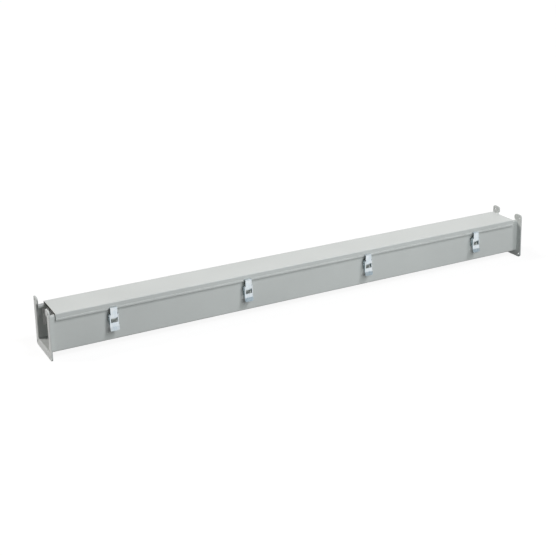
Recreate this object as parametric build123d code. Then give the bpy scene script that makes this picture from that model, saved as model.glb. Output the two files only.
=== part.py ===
from build123d import *
import os

# A gasketed lay-in wireway: a bent-sheet trough with a U-shaped bolted flange at each end, a
# hinged cover along its back top edge and draw latches along its front.
# Millimetres. +X runs along the wireway, +Y to the hinge side, +Z up. The origin is in the middle
# of the length and of the section, at the height of the flanges' bottom edges.

# Trough
length = 1524.0
section_width = 101.6
trough_height = 100.0
body_sheet = 1.9
body_bend = 2.0
trough_lip_width = 12.0
trough_lip_drop = 8.0

# End flanges
flange_thickness = 3.5
flange_margin = 18.0
flange_rise = 20.0
flange_foot_radius = 9.0
flange_top_radius = 8.0
opening_edge_radius = 3.0
ear_reach = 14.0
ear_height = 20.5
ear_inner_top_radius = 10.0
ear_inner_foot_radius = 8.0
ear_root_radius = 3.0
bolt_hole_radius = 3.55
bolt_hole_side_inset = 8.475
bolt_hole_foot_inset = 9.75
bolt_hole_top_inset = 10.75

# Cover and its gasket
cover_end_gap = 22.0
cover_sheet = 1.9
cover_bend = 1.4
cover_overhang = 5.0
cover_back_gap = 0.6
front_lip_height = 19.3
back_lip_height = 12.5
hem_height = 5.8
hem_edge_round = 0.7
gasket_height = 3.1
gasket_width = 9.5
gasket_setback = 1.2

# Continuous hinge
knuckle_pitch = 50.8
knuckle_gap = 0.4
knuckle_radius = 3.0
hinge_sheet = 1.5
hinge_pin_radius = 1.35
hinge_pin_room = 0.15
hinge_wall_room = 0.3
hinge_axis_drop = 17.0
body_leaf_height = 26.0
cover_leaf_rise = 13.5

# Draw latches, with depths measured outward from the front wall
latch_count = 4
latch_pitch = 392.0
lever_width = 25.4
lever_sheet = 1.3
lever_face_depth = 13.0
lever_tab_depth = 17.2
lever_tab_drop = 28.0
lever_tip_drop = 39.5
lever_tab_bend = 16.0
lever_tip_corner = 4.0
lever_top_rise = 4.0
lever_side_depth = 2.4
base_neck_rise = 1.8
base_neck_drop = 9.0
lever_corner_round = 1.8
window_drop = 17.7
window_room = 0.35
hook_width = 18.7
hook_sheet = 1.5
hook_bend = 1.1
hook_nose_room = 0.3
nose_room = 0.4
pivot_depth = 7.5
pivot_drop = 21.5
pivot_pin_radius = 1.5
pivot_lobe_radius = 3.9
link_depth = 5.9
link_drop = 6.8
link_pin_radius = 1.25
pin_room = 0.1
pin_head_height = 1.0
pin_head_margin = 1.0
base_sheet = 1.5
base_top_rise = 9.0
base_foot_drop = 24.0
base_side_room = 0.3

# Levels and planes that the pieces share
front_y = -section_width / 2
back_y = section_width / 2
base_z = flange_margin
trough_top = base_z + trough_height
flange_half_width = section_width / 2 + flange_margin
flange_height = trough_top + flange_rise
ear_underside = flange_height - ear_height
cover_top = trough_top + gasket_height + cover_sheet
cover_front = front_y - cover_overhang
cover_back = back_y + cover_back_gap + cover_sheet
cover_length = length - 2 * cover_end_gap
hinge_y = back_y + hinge_wall_room + knuckle_radius
hinge_z = cover_top - hinge_axis_drop
knuckle_count = int(cover_length / knuckle_pitch)
hinge_length = knuckle_count * knuckle_pitch
hem_foot = cover_top - front_lip_height
hem_top = hem_foot + hem_height
pivot_z = hem_top - pivot_drop
link_z = pivot_z - link_drop
latch_places = [(index - (latch_count - 1) / 2) * latch_pitch for index in range(latch_count)]


def out(depth):
    """The Y of a plane that lies this far outward from the front wall."""
    return front_y - depth


def bent_sheet(outline, outer_radius, sheet, side):
    """The section of a sheet whose outer face follows the outline, with rounded bends."""
    outer = FilletPolyline(*outline, radius=outer_radius)
    return make_face(offset(outer, amount=sheet, side=side))


def along_x(section, width, centre=0.0):
    """A section drawn in Y and Z, extruded along X and centred there."""
    return Pos(centre - width / 2, 0, 0) * extrude(Plane.YZ * section, amount=width)


def rod(radius, width, y, z):
    """A round bar along X, centred on X = 0."""
    return along_x(Pos(y, z) * Circle(radius), width)


def trough():
    inner_front = front_y + trough_lip_width
    inner_back = back_y - trough_lip_width
    lip_foot = trough_top - trough_lip_drop
    outline = [
        (inner_front, lip_foot),
        (inner_front, trough_top),
        (front_y, trough_top),
        (front_y, base_z),
        (back_y, base_z),
        (back_y, trough_top),
        (inner_back, trough_top),
        (inner_back, lip_foot),
    ]
    section = bent_sheet(outline, body_bend + body_sheet, body_sheet, Side.LEFT)
    return along_x(section, length - 2 * flange_thickness)


def flange_opening():
    """The outline of the opening: the trough's inside, narrowed between the ears, open at the top."""
    wall = section_width / 2 - body_sheet
    reach = section_width / 2 - ear_reach
    floor = base_z + body_sheet
    above = flange_height + flange_margin
    points = [
        (reach, above),
        (reach, ear_underside),
        (wall, ear_underside),
        (wall, floor),
        (-wall, floor),
        (-wall, ear_underside),
        (-reach, ear_underside),
        (-reach, above),
    ]
    radii = [ear_inner_foot_radius, ear_root_radius, body_bend]
    rim = FilletPolyline(*points, radius=radii + radii[::-1])
    return make_face(rim + Line(points[-1], points[0]))


def end_flange():
    """The left flange. Its outer face, where the next section bolts on, looks along -X."""
    reach = section_width / 2 - ear_reach
    outline = [
        (-flange_half_width, 0),
        (flange_half_width, 0),
        (flange_half_width, flange_height),
        (-flange_half_width, flange_height),
    ]
    radii = [flange_foot_radius, flange_foot_radius, flange_top_radius, flange_top_radius]
    plate_face = make_face(FilletPolyline(*outline, radius=radii, close=True))
    plate = extrude(Plane.YZ * plate_face, amount=flange_thickness)
    plate -= along_x(flange_opening(), 4 * flange_thickness)
    rim = [edge for edge in plate.edges().filter_by_position(Axis.X, -0.01, 0.01) if on_opening(edge)]
    plate = fillet(rim, opening_edge_radius)
    corner = Rectangle(ear_inner_top_radius, ear_inner_top_radius, align=(Align.MIN, Align.MIN))
    corner -= Pos(ear_inner_top_radius, 0) * Circle(ear_inner_top_radius)
    right_corner = Pos(reach, flange_height - ear_inner_top_radius) * corner
    for trimmed in (right_corner, mirror(right_corner, about=Plane.YZ)):
        plate -= along_x(trimmed, 4 * flange_thickness)
    bolt_y = flange_half_width - bolt_hole_side_inset
    for y in (-bolt_y, bolt_y):
        for z in (bolt_hole_foot_inset, flange_height - bolt_hole_top_inset):
            plate -= rod(bolt_hole_radius, 4 * flange_thickness, y, z)
    return Pos(-length / 2, 0, 0) * plate


def on_opening(edge):
    """Whether an edge of the flange's outer face runs along the opening."""
    middle = edge @ 0.5
    half_width = section_width / 2 - body_sheet + 0.01
    return abs(middle.Y) < half_width and base_z < middle.Z < flange_height - 0.01


def cover():
    """A bent sheet whose front lip ends in an outward hem, on whose top edge the latches pull."""
    lip_front = cover_front + cover_sheet
    lip_foot = hem_foot + cover_sheet
    outline = [
        (lip_front, lip_foot),
        (lip_front, cover_top),
        (cover_back, cover_top),
        (cover_back, cover_top - back_lip_height),
    ]
    section = bent_sheet(outline, cover_bend + cover_sheet, cover_sheet, Side.RIGHT)
    hem_leaf = Pos(cover_front, lip_foot) * Rectangle(
        cover_sheet, hem_top - lip_foot, align=(Align.MIN, Align.MIN)
    )
    hem_edge = hem_leaf.vertices().group_by(Axis.Y)[-1].sort_by(Axis.X)[0]
    section += fillet(hem_edge, hem_edge_round)
    hem_fold = Pos(lip_front, lip_foot) * Circle(cover_sheet)
    section += hem_fold & Pos(lip_front, lip_foot) * Rectangle(
        2 * cover_sheet, cover_sheet, align=(Align.CENTER, Align.MAX)
    )
    return along_x(section, cover_length)


def cover_gasket():
    width = section_width - 2 * gasket_setback
    ring = Rectangle(cover_length, width)
    ring -= Rectangle(cover_length - 2 * gasket_width, width - 2 * gasket_width)
    return Pos(0, 0, trough_top) * extrude(ring, amount=gasket_height)


def knuckle(leaf_face, odd):
    """The knuckles of one leaf, alternating along the pin with those of the other."""
    places = range(1 if odd else 0, knuckle_count, 2)
    ring = Circle(knuckle_radius) - Circle(hinge_pin_radius + hinge_pin_room)
    bore = Pos(hinge_y, hinge_z) * Circle(hinge_pin_radius + hinge_pin_room)
    section = Pos(hinge_y, hinge_z) * ring + (leaf_face - bore)
    single = along_x(section, knuckle_pitch - knuckle_gap)
    first = (knuckle_pitch - hinge_length) / 2
    return [Pos(first + place * knuckle_pitch, 0, 0) * single for place in places]


def leaf_strip(y, low, high, width):
    strip = Pos(y, low) * Rectangle(hinge_sheet, high - low, align=(Align.MIN, Align.MIN))
    return along_x(strip, width)


def hinge_body_leaf():
    clear = hinge_z - knuckle_radius - hinge_wall_room
    root = Pos(back_y, clear) * Rectangle(hinge_sheet, hinge_z - clear, align=(Align.MIN, Align.MIN))
    strip = leaf_strip(back_y, hinge_z - body_leaf_height, clear, hinge_length)
    return strip + knuckle(root, odd=False)


def hinge_cover_leaf():
    clear = hinge_z + knuckle_radius + hinge_wall_room
    root = Pos(cover_back, hinge_z) * Rectangle(hinge_sheet, clear - hinge_z, align=(Align.MIN, Align.MIN))
    strip = leaf_strip(cover_back, clear, hinge_z + cover_leaf_rise, hinge_length)
    return strip + knuckle(root, odd=True)


def hinge_pin():
    return rod(hinge_pin_radius, hinge_length, hinge_y, hinge_z)


def latch_base():
    """A bracket on the front wall, whose two ears carry the lever's pivot pin."""
    width = lever_width - 2 * lever_sheet - 2 * base_side_room
    low = pivot_z - base_foot_drop
    high = pivot_z + base_top_rise
    plate = Pos(out(base_sheet), low) * Rectangle(base_sheet, high - low, align=(Align.MIN, Align.MIN))
    neck = Polyline(
        (out(0), pivot_z - base_neck_drop),
        (out(0), pivot_z + base_neck_rise),
        (out(base_sheet), pivot_z + base_neck_rise),
        (out(pivot_depth), pivot_z + pivot_lobe_radius),
        (out(pivot_depth), pivot_z - pivot_lobe_radius),
        (out(pivot_depth - pivot_lobe_radius), pivot_z - pivot_lobe_radius),
        (out(base_sheet), pivot_z - base_neck_drop),
        close=True,
    )
    ear = make_face(neck) + Pos(out(pivot_depth), pivot_z) * Circle(pivot_lobe_radius)
    bracket = along_x(plate, width)
    for side in (-1, 1):
        bracket += along_x(ear, base_sheet, side * (width - base_sheet) / 2)
    return bracket - rod(pivot_pin_radius + pin_room, 2 * width, out(pivot_depth), pivot_z)


def lever_side():
    """One side of the lever: round about the pivot, tapering out above the finger tab."""
    face = lever_face_depth
    inner_face = lever_face_depth - lever_sheet
    flank = Polyline(
        (out(face), pivot_z + lever_top_rise),
        (out(face), pivot_z - lever_tab_drop + 2 * lever_sheet),
        (out(inner_face), pivot_z - lever_tab_drop),
        (out(lever_side_depth), pivot_z - window_drop + 2 * lever_sheet),
        (out(lever_side_depth), pivot_z),
        close=True,
    )
    top_radius = ((face - pivot_depth) ** 2 + lever_top_rise ** 2) ** 0.5
    lobe = Pos(out(pivot_depth), pivot_z) * Circle(top_radius)
    lobe &= Pos(out(face), pivot_z) * Rectangle(face, 2 * top_radius, align=(Align.MIN, Align.CENTER))
    return make_face(flank) + lobe


def latch_lever():
    """A channel that turns on the pivot pin, with a window for the hook plate and a finger tab."""
    outline = [
        (out(lever_face_depth), pivot_z + lever_top_rise),
        (out(lever_face_depth), pivot_z - lever_tab_drop),
        (out(lever_tab_depth), pivot_z - lever_tip_drop),
    ]
    face = along_x(bent_sheet(outline, lever_tab_bend, lever_sheet, Side.LEFT), lever_width)
    tip = face.edges().filter_by(Axis.Y, tolerance=45).sort_by(Axis.Z)[:2]
    lever = fillet(tip, lever_tip_corner)
    for side in (-1, 1):
        lever += along_x(lever_side(), lever_sheet, side * (lever_width - lever_sheet) / 2)
    window_low = pivot_z - window_drop
    window = Pos(out(lever_face_depth + lever_sheet), window_low) * Rectangle(
        3 * lever_sheet, window_drop + 2 * lever_face_depth, align=(Align.MIN, Align.MIN)
    )
    lever -= along_x(window, hook_width + 2 * window_room)
    right_corner = lever_corner()
    lever -= right_corner
    lever -= mirror(right_corner, about=Plane.YZ)
    lever -= rod(pivot_pin_radius + pin_room, 2 * lever_width, out(pivot_depth), pivot_z)
    return lever - rod(link_pin_radius + pin_room, 2 * lever_width, out(link_depth), link_z)


def lever_corner():
    """What the round bend leaves out of the square corner between the lever's face and its right side."""
    x = lever_width / 2 - lever_corner_round
    corner = Pos(x, out(lever_face_depth)) * Rectangle(
        lever_corner_round, lever_corner_round, align=(Align.MIN, Align.MIN)
    )
    corner -= Pos(x, out(lever_face_depth - lever_corner_round)) * Circle(lever_corner_round)
    height = lever_tab_drop + 2 * lever_top_rise
    return Pos(0, 0, pivot_z - lever_tab_drop + 2 * lever_sheet) * extrude(corner, amount=height)


def latch_hook():
    """A flat plate, rolled round the link pin below and bent in to a nose above."""
    bore = link_pin_radius + pin_room
    nose_top = hem_top + nose_room + hook_sheet
    outline = [
        (out(link_depth), link_z + bore),
        (out(lever_face_depth), link_z + bore),
        (out(lever_face_depth), nose_top),
        (out(cover_overhang + hook_nose_room), nose_top),
    ]
    section = bent_sheet(outline, hook_bend + hook_sheet, hook_sheet, Side.RIGHT)
    section += Pos(out(link_depth), link_z) * Circle(bore + hook_sheet)
    section -= Pos(out(link_depth), link_z) * Circle(bore)
    return along_x(section, hook_width)


def headed_pin(radius, y, z):
    """A pin through the lever's sides, with a flat head at each end."""
    shank = lever_width + 2 * pin_room
    pin = rod(radius, shank, y, z)
    for side in (-1, 1):
        head = Pos(y, z) * Circle(radius + pin_head_margin)
        pin += along_x(head, pin_head_height, side * (shank + pin_head_height) / 2)
    return pin


pieces = {
    "trough": trough(),
    "left_end_flange": end_flange(),
    "right_end_flange": mirror(end_flange(), about=Plane.YZ),
    "cover": cover(),
    "cover_gasket": cover_gasket(),
    "hinge_body_leaf": hinge_body_leaf(),
    "hinge_cover_leaf": hinge_cover_leaf(),
    "hinge_pin": hinge_pin(),
}

latch_pieces = {
    "base": latch_base(),
    "lever": latch_lever(),
    "hook": latch_hook(),
    "pivot_pin": headed_pin(pivot_pin_radius, out(pivot_depth), pivot_z),
    "link_pin": headed_pin(link_pin_radius, out(link_depth), link_z),
}

for index, x in enumerate(latch_places):
    for name, piece in latch_pieces.items():
        pieces[f"latch_{index + 1}_{name}"] = Pos(x, 0, 0) * piece

os.makedirs("parts", exist_ok=True)
for name, piece in pieces.items():
    export_step(piece, f"parts/{name}.step")
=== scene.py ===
import math

import bmesh
import bpy
from bpy.props import FloatProperty, FloatVectorProperty, PointerProperty
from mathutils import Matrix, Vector


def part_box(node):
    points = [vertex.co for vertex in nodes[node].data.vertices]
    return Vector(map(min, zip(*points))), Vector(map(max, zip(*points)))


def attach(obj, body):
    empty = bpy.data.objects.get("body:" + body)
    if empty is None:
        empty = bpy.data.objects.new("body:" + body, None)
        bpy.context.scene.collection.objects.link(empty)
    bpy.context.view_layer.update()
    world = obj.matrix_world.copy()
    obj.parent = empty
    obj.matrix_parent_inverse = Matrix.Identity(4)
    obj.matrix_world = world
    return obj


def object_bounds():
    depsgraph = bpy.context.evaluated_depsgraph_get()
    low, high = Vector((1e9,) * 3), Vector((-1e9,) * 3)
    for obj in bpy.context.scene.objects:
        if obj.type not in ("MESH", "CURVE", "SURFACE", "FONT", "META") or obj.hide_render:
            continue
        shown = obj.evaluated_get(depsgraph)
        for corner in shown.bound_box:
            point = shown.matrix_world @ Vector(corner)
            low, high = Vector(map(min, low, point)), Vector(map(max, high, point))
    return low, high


bl_info = {
    "name": "Hinged cover wireway",
    "version": (1, 0, 0),
    "blender": (4, 5, 0),
    "location": "View3D > Sidebar > Wireway",
    "description": "Dresses a gasketed hinged cover wireway with draw latches, and sets its stage",
    "category": "Object",
}

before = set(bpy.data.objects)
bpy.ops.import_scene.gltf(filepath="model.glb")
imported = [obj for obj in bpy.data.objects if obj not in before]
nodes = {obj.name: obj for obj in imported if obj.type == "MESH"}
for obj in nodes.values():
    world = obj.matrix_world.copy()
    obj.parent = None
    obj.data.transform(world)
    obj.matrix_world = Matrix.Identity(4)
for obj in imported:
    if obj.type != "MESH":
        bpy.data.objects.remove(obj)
cad_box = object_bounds()

# The wireway runs along X, its hinge is on the +Y side, and Z is up. Sizes are in metres.
WALL_SHEET = 0.0019
LATCHES = (1, 2, 3, 4)
# What moves on each latch. Its base bracket stays on the front wall.
MOVING_PIECES = ("lever", "hook", "pivot_pin", "link_pin")
# Straight pieces in each rounded corner of the label
CORNER_STEPS = 6
# How much a noise is squeezed along the way that the metal was rolled or drawn. Less is longer.
STREAK_SQUEEZE = 0.05
GRAIN_SQUEEZE = 0.06
WIRE_SQUEEZE = 0.03
# Between these steepnesses a bent sheet passes from facing across the wireway to facing along it.
BEND_START, BEND_END = 0.45, 0.95
# How far from the middle the far lamps' holders hang. Their light is the same from any distance.
LAMP_DISTANCE = 4


class PaintFinish(bpy.types.PropertyGroup):
    colour: FloatVectorProperty(
        name="Paint colour", description="Light grey powder coat",
        subtype="COLOR", default=(0.603, 0.636, 0.624), min=0, max=1,
    )
    roughness: FloatVectorProperty(
        name="Roughness", description="Of the paint's glossiest and of its dullest places",
        size=2, default=(0.32, 0.41), min=0, max=1,
    )
    # Painted shade for the cover's cut ends, which stands in for the shadow under them, over a
    # coat that is thin there.
    end_shade_colour: FloatVectorProperty(
        name="Edge colour",
        description="What the paint's colour is multiplied by on the cover's cut ends",
        subtype="COLOR", default=(0.42, 0.40, 0.38), min=0, max=1,
    )
    mottle: FloatProperty(
        name="Mottle", description="How much the grey differs from place to place",
        subtype="FACTOR", default=0.035, min=0, max=0.3,
    )
    mottle_pitch: FloatProperty(
        name="Mottle pitch", description="Distance between the lighter places",
        unit="LENGTH", default=0.12,
    )
    satin_pitch: FloatProperty(
        name="Satin pitch", description="Distance between the duller places",
        unit="LENGTH", default=0.03,
    )
    peel_pitch: FloatProperty(
        name="Orange peel pitch", description="Distance between the waves of the powder coat",
        unit="LENGTH", default=0.0022,
    )
    peel_depth: FloatProperty(
        name="Orange peel depth", description="Height of those waves",
        unit="LENGTH", default=0.000025,
    )
    wave_pitch: FloatProperty(
        name="Sheet wave pitch", description="Distance between the soft waves of the bent sheet",
        unit="LENGTH", default=0.16,
    )
    wave_depth: FloatProperty(
        name="Sheet wave depth", description="Height of the soft waves of the bent sheet",
        unit="LENGTH", default=0.00022,
    )


class ZincFinish(bpy.types.PropertyGroup):
    colour: FloatVectorProperty(
        name="Zinc colour", description="Bright zinc plating", subtype="COLOR",
        default=(0.775, 0.81, 0.83), min=0, max=1,
    )
    blue: FloatVectorProperty(
        name="Blue cast", description="Colour of the plating where its clear film is thicker",
        subtype="COLOR", default=(0.62, 0.71, 0.77), min=0, max=1,
    )
    roughness: FloatVectorProperty(
        name="Roughness", description="Of the plating's glossiest and of its dullest places",
        size=2, default=(0.24, 0.40), min=0, max=1,
    )
    grain_pitch: FloatProperty(
        name="Grain pitch", description="Distance between the rolling lines under the plating",
        unit="LENGTH", default=0.0004,
    )
    grain_depth: FloatProperty(
        name="Grain depth", description="Depth of the rolling lines",
        unit="LENGTH", default=0.000004,
    )
    streak_pitch: FloatProperty(
        name="Streak pitch", description="Distance between the broad streaks of the rolled strip",
        unit="LENGTH", default=0.0035,
    )
    streaks: FloatVectorProperty(
        name="Streaks", description="Brightness of the darkest and of the lightest streaks",
        size=2, default=(0.90, 1.04), min=0,
    )
    cast_pitch: FloatProperty(
        name="Cast pitch", description="Distance between the places with the blue cast",
        unit="LENGTH", default=0.012,
    )
    dull_pitch: FloatProperty(
        name="Dull pitch", description="Distance between the duller places",
        unit="LENGTH", default=0.004,
    )
    # Partly painted shade: the brackets are darker than the bright plating to stand in for the
    # shade behind the hook, besides their duller plating.
    bracket_shaded_colour: FloatVectorProperty(
        name="Bracket colour", description="Duller plating of the base brackets", subtype="COLOR",
        default=(0.62, 0.65, 0.62), min=0, max=1,
    )
    bracket_mottle: FloatProperty(
        name="Bracket mottle", description="How much darker the base brackets are in places",
        subtype="FACTOR", default=0.2, min=0, max=1,
    )
    bracket_roughness: FloatVectorProperty(
        name="Bracket roughness",
        description="Of the base brackets' glossiest and of their dullest places",
        size=2, default=(0.39, 0.55), min=0, max=1,
    )
    # Painted shade for the bent-back sides, which stands in for the shaded wall that they mirror.
    cheek_shade_colour: FloatVectorProperty(
        name="Cheek colour",
        description="What the plating's colour is multiplied by on the bent-back sides",
        subtype="COLOR", default=(0.40, 0.46, 0.47), min=0, max=1,
    )


class RubberFinish(bpy.types.PropertyGroup):
    colour: FloatVectorProperty(
        name="Foam colour", description="Closed-cell foam rubber", subtype="COLOR",
        default=(0.018, 0.015, 0.012), min=0, max=1,
    )
    paler: FloatProperty(
        name="Paler places", description="How many times as light the foam is in places",
        default=1.7, min=1,
    )
    patch_pitch: FloatProperty(
        name="Patch pitch", description="Distance between the paler places",
        unit="LENGTH", default=0.01,
    )
    gloss: FloatProperty(
        name="Gloss", description="Strength of the foam's faint gloss",
        subtype="FACTOR", default=0.25, min=0, max=1,
    )
    roughness: FloatVectorProperty(
        name="Roughness", description="Of the foam's glossiest and of its dullest places",
        size=2, default=(0.85, 0.98), min=0, max=1,
    )
    dull_pitch: FloatProperty(
        name="Dull pitch", description="Distance between the duller places",
        unit="LENGTH", default=0.003,
    )
    cell_pitch: FloatProperty(
        name="Cell pitch", description="Size of the foam's cells",
        unit="LENGTH", default=0.0007,
    )
    cell_depth: FloatProperty(
        name="Cell depth", description="Depth of the foam's cells",
        unit="LENGTH", default=0.0002,
    )


class SteelFinish(bpy.types.PropertyGroup):
    colour: FloatVectorProperty(
        name="Steel colour", description="Drawn steel wire", subtype="COLOR",
        default=(0.58, 0.57, 0.56), min=0, max=1,
    )
    oily_colour: FloatVectorProperty(
        name="Oily colour", description="Where a film of oil lies on the wire", subtype="COLOR",
        default=(0.42, 0.42, 0.43), min=0, max=1,
    )
    oil_pitch: FloatProperty(
        name="Oil pitch", description="Distance between the oily places",
        unit="LENGTH", default=0.02,
    )
    roughness: FloatVectorProperty(
        name="Roughness", description="Of the wire's glossiest and of its dullest places",
        size=2, default=(0.3, 0.5), min=0, max=1,
    )
    dull_pitch: FloatProperty(
        name="Dull pitch", description="Distance between the duller places",
        unit="LENGTH", default=0.005,
    )
    line_pitch: FloatProperty(
        name="Line pitch", description="Distance between the lines that drawing leaves",
        unit="LENGTH", default=0.0005,
    )
    line_depth: FloatProperty(
        name="Line depth", description="Depth of those lines",
        unit="LENGTH", default=0.000005,
    )


class BlankLabel(bpy.types.PropertyGroup):
    width: FloatProperty(
        name="Width", description="Along the wireway", unit="LENGTH", default=0.056,
    )
    height: FloatProperty(
        name="Height", description="Up the back wall", unit="LENGTH", default=0.0458,
    )
    end_gap: FloatProperty(
        name="End gap", description="From the flange's outer face", unit="LENGTH", default=0.0155,
    )
    rise: FloatProperty(
        name="Rise", description="From the flange's bottom edge", unit="LENGTH", default=0.0575,
    )
    thickness: FloatProperty(
        name="Thickness", description="Of the film", unit="LENGTH", default=0.0002,
    )
    glue_gap: FloatProperty(
        name="Glue gap", description="From the wall to the film", unit="LENGTH", default=0.00002,
    )
    corner: FloatProperty(
        name="Corner", description="Corner radius", unit="LENGTH", default=0.002,
    )
    colour: FloatVectorProperty(
        name="Film colour", description="Blank film", subtype="COLOR",
        default=(0.95, 0.945, 0.945), min=0, max=1,
    )
    mottle: FloatProperty(
        name="Mottle", description="How much the film differs from place to place",
        subtype="FACTOR", default=0.04, min=0, max=0.3,
    )
    mottle_pitch: FloatProperty(
        name="Mottle pitch", description="Distance between the lighter places",
        unit="LENGTH", default=0.02,
    )
    roughness: FloatVectorProperty(
        name="Roughness", description="Of the film's glossiest and of its dullest places",
        size=2, default=(0.32, 0.46), min=0, max=1,
    )
    dull_pitch: FloatProperty(
        name="Dull pitch", description="Distance between the duller places",
        unit="LENGTH", default=0.006,
    )
    ripple_pitch: FloatProperty(
        name="Ripple pitch", description="Distance between the film's ripples",
        unit="LENGTH", default=0.004,
    )
    ripple_depth: FloatProperty(
        name="Ripple depth", description="Height of the ripples",
        unit="LENGTH", default=0.00002,
    )


class Studio(bpy.types.PropertyGroup):
    floor_colour: FloatVectorProperty(
        name="Floor colour", description="Plain floor, as the light finds it", subtype="COLOR",
        default=(0.15, 0.15, 0.15), min=0, max=1,
    )
    floor_roughness: FloatProperty(
        name="Floor roughness", description="How dull the floor is",
        subtype="FACTOR", default=0.9, min=0, max=1,
    )
    floor_glow: FloatProperty(
        name="Floor glow", description="What is added to the floor's colour for the camera",
        default=0.90, min=0,
    )
    floor_size: FloatProperty(
        name="Floor size", description="Side of the floor", unit="LENGTH", default=60.0,
    )
    sky_light: FloatProperty(
        name="Sky light", description="Strength of the even light from all sides",
        default=0.04, min=0,
    )
    key_light: FloatProperty(
        name="Key light", description="Soft light from the back left, above", default=2.26, min=0,
    )
    key_from: FloatVectorProperty(
        name="Key light from", description="Where the key light comes from",
        subtype="DIRECTION", default=(-0.615, 0.420, 0.667),
    )
    key_softness: FloatProperty(
        name="Key light softness", description="How wide the key light looks from the wireway",
        subtype="ANGLE", default=math.radians(20), min=0,
    )
    key_colour: FloatVectorProperty(
        name="Key light colour", description="A little warm",
        subtype="COLOR", default=(1.0, 0.962, 0.935), min=0, max=1,
    )
    high_light: FloatProperty(
        name="High light", description="Light from high at the front right", default=1.10, min=0,
    )
    high_from: FloatVectorProperty(
        name="High light from", description="Where the high light comes from",
        subtype="DIRECTION", default=(0.40, -0.50, 0.77),
    )
    high_softness: FloatProperty(
        name="High light softness", description="How wide the high light looks from the wireway",
        subtype="ANGLE", default=math.radians(15), min=0,
    )
    high_colour: FloatVectorProperty(
        name="High light colour", description="Almost white",
        subtype="COLOR", default=(1.0, 0.975, 0.995), min=0, max=1,
    )
    front_light: FloatProperty(
        name="Front light", description="Large soft lamp in front",
        unit="POWER", default=25.5, min=0,
    )
    front_size: FloatProperty(
        name="Front lamp size", description="Its side", unit="LENGTH", default=1.5,
    )
    front_place: FloatVectorProperty(
        name="Front lamp place", description="Where the front lamp hangs",
        subtype="TRANSLATION", unit="LENGTH", default=(0.30, -1.95, 1.05),
    )
    front_colour: FloatVectorProperty(
        name="Front light colour", description="A little cool",
        subtype="COLOR", default=(0.975, 1.0, 1.0), min=0, max=1,
    )
    card_start: FloatVectorProperty(
        name="Card start", description="The grey card's lower left corner",
        subtype="TRANSLATION", unit="LENGTH", default=(0.9, -3.6, 0.25),
    )
    card_end: FloatVectorProperty(
        name="Card end", description="The grey card's upper right corner",
        subtype="TRANSLATION", unit="LENGTH", default=(3.4, -2.4, 2.6),
    )
    card_colour: FloatVectorProperty(
        name="Card colour", description="What the bright zinc mirrors of the card",
        subtype="COLOR", default=(0.31, 0.38, 0.42), min=0, max=1,
    )
    camera_place: FloatVectorProperty(
        name="Camera place", description="Where the camera stands",
        subtype="TRANSLATION", unit="LENGTH", default=(-1.4366, -2.6403, 1.2021),
    )
    camera_turn: FloatVectorProperty(
        name="Camera turn", description="Which way the camera looks",
        subtype="EULER", unit="ROTATION",
        default=(math.radians(75.542), math.radians(1.265), math.radians(-27.828)),
    )
    camera_lens: FloatProperty(
        name="Lens", description="Focal length in millimetres, on a 36 mm wide frame",
        default=71.209, min=1,
    )
    camera_shift: FloatProperty(
        name="Shift", description="Lens shift that keeps the flanges upright", default=-0.2212,
    )


class WirewayLooks(bpy.types.PropertyGroup):
    paint: PointerProperty(type=PaintFinish)
    zinc: PointerProperty(type=ZincFinish)
    rubber: PointerProperty(type=RubberFinish)
    steel: PointerProperty(type=SteelFinish)
    label: PointerProperty(type=BlankLabel)
    studio: PointerProperty(type=Studio)


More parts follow.
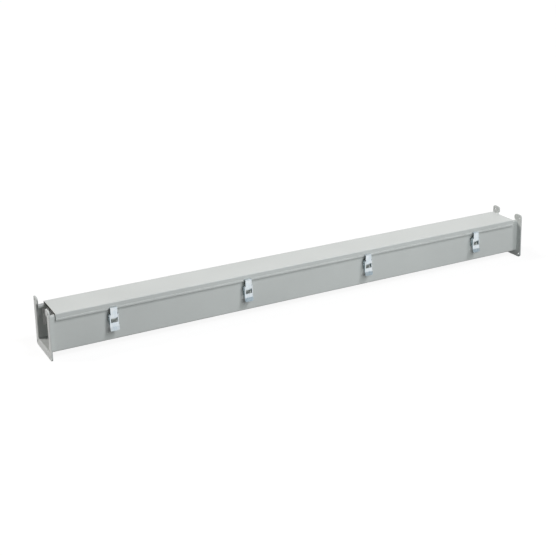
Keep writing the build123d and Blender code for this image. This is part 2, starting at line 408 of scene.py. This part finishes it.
class Finish:
    """A node material in the making, with short calls for the nodes that the finishes share."""

    def __init__(self, name):
        self.material = bpy.data.materials.new(name)
        self.material.use_nodes = True
        self.tree = self.material.node_tree
        self.shader = self.tree.nodes["Principled BSDF"]
        self.place = self.add("ShaderNodeTexCoord").outputs["Object"]

    def add(self, kind, **settings):
        node = self.tree.nodes.new(kind)
        for name, value in settings.items():
            setattr(node, name, value)
        return node

    def link(self, output, socket):
        self.tree.links.new(output, socket)

    def stretched(self, x, y, z):
        """The place on the piece, squeezed along each axis, for marks that run one way."""
        mapping = self.add("ShaderNodeMapping")
        self.link(self.place, mapping.inputs["Vector"])
        mapping.inputs["Scale"].default_value = (x, y, z)
        return mapping.outputs["Vector"]

    def noise(self, pitch, detail=2, place=None):
        """Clouds that repeat about every pitch metres."""
        clouds = self.add("ShaderNodeTexNoise")
        self.link(place or self.place, clouds.inputs["Vector"])
        clouds.inputs["Scale"].default_value = 1 / pitch
        clouds.inputs["Detail"].default_value = detail
        return clouds.outputs["Fac"]

    def spread(self, value, low, high):
        """Takes the middle half of a noise to the range from low to high."""
        reach = self.add("ShaderNodeMapRange")
        self.link(value, reach.inputs["Value"])
        reach.inputs["From Min"].default_value = 0.25
        reach.inputs["From Max"].default_value = 0.75
        reach.inputs["To Min"].default_value = low
        reach.inputs["To Max"].default_value = high
        return reach.outputs["Result"]

    def blend(self, share, first, second):
        """A colour between two others."""
        mix = self.add("ShaderNodeMix", data_type="RGBA")
        self.link(share, mix.inputs["Factor"])
        mix.inputs["A"].default_value = (*first, 1)
        mix.inputs["B"].default_value = (*second, 1)
        return mix.outputs["Result"]

    def times(self, colour, tint, share):
        """The colour multiplied by a tint where the share is 1, and left alone where it is 0."""
        mix = self.add("ShaderNodeMix", data_type="RGBA", blend_type="MULTIPLY")
        self.link(share, mix.inputs["Factor"])
        self.link(colour, mix.inputs["A"])
        mix.inputs["B"].default_value = (*tint, 1)
        return mix.outputs["Result"]

    def sideways(self):
        """1 where the surface faces along the wireway, 0 where it faces across it."""
        parts = self.add("ShaderNodeSeparateXYZ")
        self.link(self.add("ShaderNodeTexCoord").outputs["Normal"], parts.inputs["Vector"])
        size = self.add("ShaderNodeMath", operation="ABSOLUTE")
        self.link(parts.outputs["X"], size.inputs[0])
        reach = self.add("ShaderNodeMapRange", interpolation_type="SMOOTHSTEP")
        self.link(size.outputs[0], reach.inputs["Value"])
        reach.inputs["From Min"].default_value = BEND_START
        reach.inputs["From Max"].default_value = BEND_END
        return reach.outputs["Result"]

    def rough(self, value, low, high):
        """Lets the roughness run from low to high with a noise."""
        self.link(self.spread(value, low, high), self.shader.inputs["Roughness"])

    def bump(self, height, depth, under=None):
        """Relief of this depth in metres, on top of any relief under it."""
        node = self.add("ShaderNodeBump")
        self.link(height, node.inputs["Height"])
        node.inputs["Strength"].default_value = 1.0
        node.inputs["Distance"].default_value = depth
        if under is not None:
            self.link(under, node.inputs["Normal"])
        return node.outputs["Normal"]

    def set(self, name, value):
        """Gives one of the shader's own sockets a value that is the same all over."""
        self.shader.inputs[name].default_value = value


def shade(colour, share):
    """The colour, lighter or darker by this share."""
    return tuple(min(1.0, channel * share) for channel in colour)


def powder_coat(name, sizes, shaded_ends=False):
    """Satin powder coat on sheet steel: a faint mottle, orange peel and the sheet's soft waves.

    On the cover's cut ends the colour is darkened: partly a coat that is thin on sharp edges,
    mostly painted shade that stands in for the shadow under the cover's ends.
    """
    finish = Finish(name)
    share = finish.spread(finish.noise(sizes.mottle_pitch, detail=4), 0, 1)
    darker = shade(sizes.colour, 1 - sizes.mottle)
    lighter = shade(sizes.colour, 1 + sizes.mottle)
    colour = finish.blend(share, darker, lighter)
    # Painted shade on the cut ends, which face along the wireway.
    if shaded_ends:
        colour = finish.times(colour, sizes.end_shade_colour, finish.sideways())
    finish.link(colour, finish.shader.inputs["Base Color"])
    satin = finish.noise(sizes.satin_pitch, detail=5)
    finish.rough(satin, *sizes.roughness)
    waves = finish.bump(finish.noise(sizes.wave_pitch, detail=0), sizes.wave_depth)
    peel = finish.bump(finish.noise(sizes.peel_pitch, detail=1), sizes.peel_depth, under=waves)
    finish.link(peel, finish.shader.inputs["Normal"])
    return finish.material


def bright_zinc(name, sizes, bright, cast, roughness, shade_cheeks=False):
    """Zinc plating over rolled strip: broad streaks, fine rolling lines and a faint blue cast.

    The sides that are bent back towards the wall get painted shade: a darker colour that stands in
    for the shaded wall that they mirror.
    """
    finish = Finish(name)
    finish.set("Metallic", 1.0)
    patches = finish.spread(finish.noise(sizes.cast_pitch, detail=3), 0, 1)
    colour = finish.blend(patches, bright, cast)
    rolled = finish.stretched(1, 1, STREAK_SQUEEZE)
    streaks = finish.spread(finish.noise(sizes.streak_pitch, place=rolled), *sizes.streaks)
    streaky = finish.add("ShaderNodeMix", data_type="RGBA", blend_type="MULTIPLY")
    streaky.inputs["Factor"].default_value = 1.0
    finish.link(colour, streaky.inputs["A"])
    finish.link(streaks, streaky.inputs["B"])
    colour = streaky.outputs["Result"]
    # Painted shade on the sides that face along the wireway.
    if shade_cheeks:
        colour = finish.times(colour, sizes.cheek_shade_colour, finish.sideways())
    finish.link(colour, finish.shader.inputs["Base Color"])
    dull_and_shaded = finish.noise(sizes.dull_pitch, detail=4)
    finish.rough(dull_and_shaded, *roughness)
    drawn_out = finish.stretched(1, 1, GRAIN_SQUEEZE)
    lines = finish.noise(sizes.grain_pitch, detail=3, place=drawn_out)
    finish.link(finish.bump(lines, sizes.grain_depth), finish.shader.inputs["Normal"])
    return finish.material


def foam_rubber(name, sizes):
    """Closed-cell foam: matt, near black, with small cells."""
    finish = Finish(name)
    finish.set("Specular IOR Level", sizes.gloss)
    share = finish.spread(finish.noise(sizes.patch_pitch, detail=4), 0, 1)
    colour = finish.blend(share, sizes.colour, shade(sizes.colour, sizes.paler))
    finish.link(colour, finish.shader.inputs["Base Color"])
    finish.rough(finish.noise(sizes.dull_pitch, detail=3), *sizes.roughness)
    cells = finish.add("ShaderNodeTexVoronoi")
    finish.link(finish.place, cells.inputs["Vector"])
    cells.inputs["Scale"].default_value = 1 / sizes.cell_pitch
    pits = finish.bump(cells.outputs["Distance"], sizes.cell_depth)
    finish.link(pits, finish.shader.inputs["Normal"])
    return finish.material


def plain_steel(name, sizes):
    """Drawn steel wire, slightly oily."""
    finish = Finish(name)
    finish.set("Metallic", 1.0)
    share = finish.spread(finish.noise(sizes.oil_pitch, detail=4), 0, 1)
    colour = finish.blend(share, sizes.oily_colour, sizes.colour)
    finish.link(colour, finish.shader.inputs["Base Color"])
    finish.rough(finish.noise(sizes.dull_pitch, detail=3), *sizes.roughness)
    lines = finish.noise(sizes.line_pitch, place=finish.stretched(WIRE_SQUEEZE, 1, 1))
    finish.link(finish.bump(lines, sizes.line_depth), finish.shader.inputs["Normal"])
    return finish.material


def blank_film(name, sizes):
    """Blank label film, a little glossy."""
    finish = Finish(name)
    share = finish.spread(finish.noise(sizes.mottle_pitch, detail=3), 0, 1)
    darker = shade(sizes.colour, 1 - sizes.mottle)
    lighter = shade(sizes.colour, 1 + sizes.mottle)
    finish.link(finish.blend(share, darker, lighter), finish.shader.inputs["Base Color"])
    finish.rough(finish.noise(sizes.dull_pitch, detail=3), *sizes.roughness)
    ripples = finish.bump(finish.noise(sizes.ripple_pitch), sizes.ripple_depth)
    finish.link(ripples, finish.shader.inputs["Normal"])
    return finish.material


def give(material, *names):
    """Puts a material on every slot of the named nodes."""
    for name in names:
        mesh = nodes[name].data
        if not mesh.materials:
            mesh.materials.append(material)
        for index in range(len(mesh.materials)):
            mesh.materials[index] = material


def looks(context):
    """The sizes and colours that the panel shows."""
    return context.scene.wireway_looks


class DressTrough(bpy.types.Operator):
    """Powder coat on the trough"""

    bl_idname = "wireway.dress_trough"
    bl_label = "Trough"

    def execute(self, context):
        give(powder_coat("trough_coat", looks(context).paint), "trough")
        return {"FINISHED"}


class DressFlanges(bpy.types.Operator):
    """Powder coat on both end flanges"""

    bl_idname = "wireway.dress_flanges"
    bl_label = "End flanges"

    def execute(self, context):
        coat = powder_coat("flange_coat", looks(context).paint)
        give(coat, "left_end_flange", "right_end_flange")
        return {"FINISHED"}


class DressCover(bpy.types.Operator):
    """Powder coat on the cover"""

    bl_idname = "wireway.dress_cover"
    bl_label = "Cover"

    def execute(self, context):
        give(powder_coat("cover_coat", looks(context).paint, shaded_ends=True), "cover")
        return {"FINISHED"}


class DressGasket(bpy.types.Operator):
    """Foam rubber on the cover's gasket"""

    bl_idname = "wireway.dress_gasket"
    bl_label = "Cover gasket"

    def execute(self, context):
        give(foam_rubber("gasket_foam", looks(context).rubber), "cover_gasket")
        return {"FINISHED"}


class DressHinge(bpy.types.Operator):
    """Powder coat on the hinge's leaves and plain steel on its pin"""

    bl_idname = "wireway.dress_hinge"
    bl_label = "Continuous hinge"

    def execute(self, context):
        coat = powder_coat("hinge_coat", looks(context).paint)
        give(coat, "hinge_body_leaf", "hinge_cover_leaf")
        give(plain_steel("hinge_pin_steel", looks(context).steel), "hinge_pin")
        return {"FINISHED"}


class DressLatches(bpy.types.Operator):
    """Bright zinc on the four draw latches, with painted shade on the base brackets and the
    bent-back sides
    """

    bl_idname = "wireway.dress_latches"
    bl_label = "Draw latches"

    def execute(self, context):
        sizes = looks(context).zinc
        bright = (sizes.colour, sizes.blue, sizes.roughness)
        # The brackets' darker colour is partly painted shade for the gap behind the hook.
        darker = shade(sizes.bracket_shaded_colour, 1 - sizes.bracket_mottle)
        dull_and_shaded = (sizes.bracket_shaded_colour, darker, sizes.bracket_roughness)
        coats = {
            "lever": bright_zinc("lever_zinc", sizes, *bright, shade_cheeks=True),
            "base": bright_zinc("bracket_zinc_shaded", sizes, *dull_and_shaded, shade_cheeks=True),
        }
        plain = bright_zinc("latch_zinc", sizes, *bright)
        for piece in ("base", *MOVING_PIECES):
            give(coats.get(piece, plain), *(f"latch_{n}_{piece}" for n in LATCHES))
        return {"FINISHED"}


class MakeLabel(bpy.types.Operator):
    """A blank label on the inside of the back wall, near the left end"""

    bl_idname = "wireway.make_label"
    bl_label = "Blank label"

    def execute(self, context):
        sizes = looks(context).label
        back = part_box("trough")[1].y - WALL_SHEET - sizes.glue_gap
        made = bmesh.new()
        face = made.faces.new([made.verts.new((x, back, z)) for x, z in self.outline(sizes)])
        front = bmesh.ops.extrude_face_region(made, geom=[face])
        moved = [item for item in front["geom"] if isinstance(item, bmesh.types.BMVert)]
        bmesh.ops.translate(made, verts=moved, vec=(0, -sizes.thickness, 0))
        bmesh.ops.recalc_face_normals(made, faces=made.faces)
        mesh = bpy.data.meshes.new("blank_label")
        made.to_mesh(mesh)
        made.free()
        label = bpy.data.objects.new("blank_label", mesh)
        context.scene.collection.objects.link(label)
        mesh.materials.append(blank_film("label_film", sizes))
        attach(label, "wireway_body")
        return {"FINISHED"}

    def outline(self, sizes):
        """The X and Z of each point round the label, with its corners rounded."""
        left = cad_box[0].x + sizes.end_gap
        points = []
        for turn, (x, z) in enumerate(((1, 1), (0, 1), (0, 0), (1, 0))):
            centre_x = left + (sizes.width - sizes.corner if x else sizes.corner)
            centre_z = sizes.rise + (sizes.height - sizes.corner if z else sizes.corner)
            for step in range(CORNER_STEPS + 1):
                angle = math.radians(90 * turn + 90 / CORNER_STEPS * step)
                points.append((
                    centre_x + sizes.corner * math.cos(angle),
                    centre_z + sizes.corner * math.sin(angle),
                ))
        return points


def hang(name, light, place, source):
    """Places a lamp so that it shines from the source's direction."""
    holder = bpy.data.objects.new(name, light)
    holder.location = place
    holder.rotation_mode = "QUATERNION"
    holder.rotation_quaternion = source.to_track_quat("Z", "Y")
    bpy.context.scene.collection.objects.link(holder)
    return holder


def far_lamp(name, source, softness, strength, colour):
    """Even light from one side, as from a large lamp far off."""
    light = bpy.data.lights.new(name, "SUN")
    light.angle = softness
    light.energy = strength
    light.color = colour
    return hang(name, light, LAMP_DISTANCE * Vector(source), Vector(source))


def near_lamp(name, place, size, power, colour):
    """A square soft box that faces the wireway's middle and that bright metal doesn't mirror."""
    light = bpy.data.lights.new(name, "AREA")
    light.shape = "SQUARE"
    light.size = size
    light.energy = power
    light.color = colour
    middle = (cad_box[0] + cad_box[1]) / 2
    hang(name, light, place, Vector(place) - middle).visible_glossy = False


def flat_sheet(scene, name, corners):
    """A sheet with four corners that belongs to the stage."""
    mesh = bpy.data.meshes.new(name)
    mesh.from_pydata(corners, [], [(0, 1, 2, 3)])
    sheet = bpy.data.objects.new(name, mesh)
    scene.collection.objects.link(sheet)
    return sheet


def seen_directly(tree):
    """1 for rays from the camera, a mirror or glass, and 0 for light that falls on the object."""
    path = tree.nodes.new("ShaderNodeLightPath")
    total = path.outputs["Is Camera Ray"]
    for name in ("Is Glossy Ray", "Is Transmission Ray"):
        add = tree.nodes.new("ShaderNodeMath")
        add.operation = "MAXIMUM"
        tree.links.new(total, add.inputs[0])
        tree.links.new(path.outputs[name], add.inputs[1])
        total = add.outputs[0]
    return total


class SetStage(bpy.types.Operator):
    """The floor, the soft light and the camera"""

    bl_idname = "wireway.set_stage"
    bl_label = "Stage"

    def execute(self, context):
        studio = looks(context).studio
        context.scene.view_settings.view_transform = "Standard"
        self.make_floor(context.scene, studio)
        self.make_sky(context.scene, studio)
        self.make_card(context.scene, studio)
        self.hang_lamps(studio)
        self.place_camera(context.scene, studio)
        return {"FINISHED"}

    def hang_lamps(self, studio):
        """A key light for the top and the left end, and two for the front."""
        key = far_lamp(
            "key_lamp", studio.key_from, studio.key_softness, studio.key_light, studio.key_colour,
        )
        key.visible_glossy = False
        high = far_lamp(
            "high_lamp", studio.high_from, studio.high_softness, studio.high_light,
            studio.high_colour,
        )
        self.keep_off_latches(high)
        near_lamp(
            "front_lamp", studio.front_place, studio.front_size, studio.front_light,
            studio.front_colour,
        )

    def place_camera(self, scene, studio):
        """The photograph's view: from the front left, above, with the flanges upright."""
        data = bpy.data.cameras.new("camera")
        data.lens = studio.camera_lens
        data.shift_y = studio.camera_shift
        camera = bpy.data.objects.new("camera", data)
        camera.location = studio.camera_place
        camera.rotation_euler = studio.camera_turn
        scene.collection.objects.link(camera)
        scene.camera = camera

    def make_floor(self, scene, studio):
        """A plain floor that takes the shadow and looks pale to the camera."""
        half = studio.floor_size / 2
        floor = flat_sheet(scene, "floor", [
            (-half, -half, 0), (half, -half, 0), (half, half, 0), (-half, half, 0),
        ])
        material = bpy.data.materials.new("floor_paper")
        material.use_nodes = True
        tree = material.node_tree
        shader = tree.nodes["Principled BSDF"]
        shader.inputs["Base Color"].default_value = (*studio.floor_colour, 1)
        shader.inputs["Roughness"].default_value = studio.floor_roughness
        shader.inputs["Specular IOR Level"].default_value = 0.0
        glow = tree.nodes.new("ShaderNodeEmission")
        strength = tree.nodes.new("ShaderNodeMath")
        strength.operation = "MULTIPLY"
        strength.inputs[1].default_value = studio.floor_glow
        tree.links.new(seen_directly(tree), strength.inputs[0])
        tree.links.new(strength.outputs[0], glow.inputs["Strength"])
        both = tree.nodes.new("ShaderNodeAddShader")
        tree.links.new(shader.outputs[0], both.inputs[0])
        tree.links.new(glow.outputs[0], both.inputs[1])
        tree.links.new(both.outputs[0], tree.nodes["Material Output"].inputs["Surface"])
        floor.data.materials.append(material)

    def keep_off_latches(self, holder):
        """Leaves the lamp's glint on the paint's bends and takes it off the bright plating."""
        latches = bpy.data.collections.new("bright_latches")
        for n in LATCHES:
            for piece in MOVING_PIECES:
                latches.objects.link(nodes[f"latch_{n}_{piece}"])
        for entry in latches.collection_objects:
            entry.light_linking.link_state = "EXCLUDE"
        holder.light_linking.receiver_collection = latches

    def make_card(self, scene, studio):
        """A grey card at the front right that only bright metal and gloss mirror."""
        (left, near, foot), (right, far, top) = studio.card_start, studio.card_end
        card = flat_sheet(scene, "grey_card", [
            (left, near, foot), (right, far, foot), (right, far, top), (left, near, top),
        ])
        material = bpy.data.materials.new("grey_card")
        material.use_nodes = True
        tree = material.node_tree
        glow = tree.nodes.new("ShaderNodeEmission")
        glow.inputs["Color"].default_value = (*studio.card_colour, 1)
        tree.links.new(glow.outputs[0], tree.nodes["Material Output"].inputs["Surface"])
        card.data.materials.append(material)
        card.visible_camera = False
        card.visible_diffuse = False
        card.visible_shadow = False

    def make_sky(self, scene, studio):
        """A white sky for the camera and for mirrors, and faint even light for the object."""
        world = bpy.data.worlds.new("sky")
        world.use_nodes = True
        tree = world.node_tree
        background = tree.nodes["Background"]
        background.inputs["Color"].default_value = (1, 1, 1, 1)
        reach = tree.nodes.new("ShaderNodeMapRange")
        reach.inputs["To Min"].default_value = studio.sky_light
        reach.inputs["To Max"].default_value = 1.0
        tree.links.new(seen_directly(tree), reach.inputs["Value"])
        tree.links.new(reach.outputs["Result"], background.inputs["Strength"])
        scene.world = world


STEPS = (
    DressTrough, DressFlanges, DressCover, DressGasket, DressHinge, DressLatches,
    MakeLabel, SetStage,
)


class WirewayPanel(bpy.types.Panel):
    """Lists the steps that dress the wireway, and the sizes and colours that they use"""

    bl_idname = "VIEW3D_PT_wireway"
    bl_label = "Hinged cover wireway"
    bl_space_type = "VIEW_3D"
    bl_region_type = "UI"
    bl_category = "Wireway"

    def draw(self, context):
        for step in STEPS:
            self.layout.operator(step.bl_idname)
        for name in WirewayLooks.__annotations__:
            group = getattr(looks(context), name)
            column = self.layout.column()
            for size in group.__annotations__:
                column.prop(group, size)


CLASSES = (
    PaintFinish, ZincFinish, RubberFinish, SteelFinish, BlankLabel, Studio, WirewayLooks,
    *STEPS, WirewayPanel,
)


def register():
    for item in CLASSES:
        bpy.utils.register_class(item)
    bpy.types.Scene.wireway_looks = PointerProperty(type=WirewayLooks)


def unregister():
    del bpy.types.Scene.wireway_looks
    for item in reversed(CLASSES):
        bpy.utils.unregister_class(item)


def main():
    register()
    for step in STEPS:
        group, name = step.bl_idname.split(".")
        getattr(getattr(bpy.ops, group), name)()


if __name__ == "__main__":
    main()
